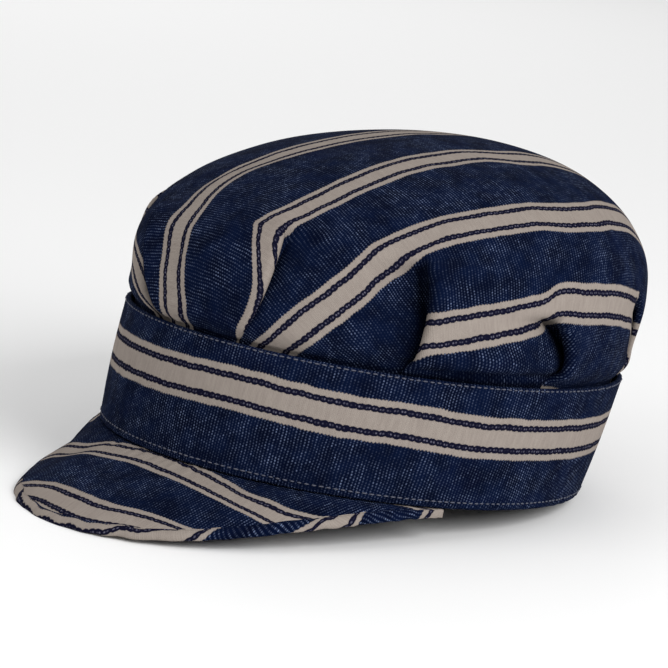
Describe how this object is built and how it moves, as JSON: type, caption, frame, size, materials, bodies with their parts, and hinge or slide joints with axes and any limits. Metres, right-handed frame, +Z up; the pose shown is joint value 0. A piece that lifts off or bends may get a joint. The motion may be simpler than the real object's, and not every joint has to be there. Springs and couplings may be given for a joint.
{
  "type": "peaked work cap",
  "caption": "Soft denim work cap with a full pleated crown, an upright headband and a short curved peak; the inside is open for a head.",
  "frame": {"origin": "on the floor under the middle of the whole cap's bounding box", "axes": "+Z up, -Y to the front over the peak, +X to the wearer's left"},
  "size_m": [0.2018, 0.2724, 0.1325],
  "materials": {
    "crown_cloth": "matt woven denim, dark blue with paired cream stripes",
    "band_cloth": "matt woven denim, dark blue with cream stripes running round",
    "peak_cloth": "matt woven denim, dark blue with cream stripes running across"
  },
  "bodies": {
    "root": {"crown": "crown_cloth", "band": "band_cloth", "peak": "peak_cloth"}
  },
  "joints": []
}
